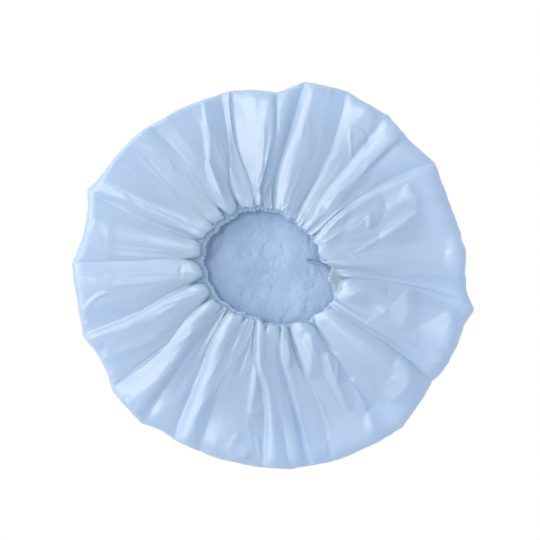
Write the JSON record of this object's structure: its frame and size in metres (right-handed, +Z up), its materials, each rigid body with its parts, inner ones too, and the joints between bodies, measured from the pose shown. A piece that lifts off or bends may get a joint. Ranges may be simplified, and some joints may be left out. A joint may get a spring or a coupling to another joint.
{
  "type": "disposable shampoo cap lying with its opening up",
  "caption": "Disposable shampoo cap: gathered thin film cap with elastic opening and absorbent pad inside, lying flat on its crown.",
  "frame": {"origin": "middle of the cap's footprint, on the surface that its crown lies on", "axes": "+Z up, out of the crown towards the opening; +X to the side where the elastic is joined; +Y towards the side where the rim has its deepest notch"},
  "size_m": [0.2922, 0.2816, 0.0262],
  "materials": {
    "film": "thin glossy translucent polyethylene film, bluish white, finely crinkled",
    "elastic": "narrow soft flat elastic, bluish white",
    "nonwoven": "soft fuzzy nonwoven, bluish white, matt"
  },
  "bodies": {
    "root": {"film_cap": "film", "elastic_band": "elastic", "absorbent_pad": "nonwoven"}
  },
  "joints": []
}
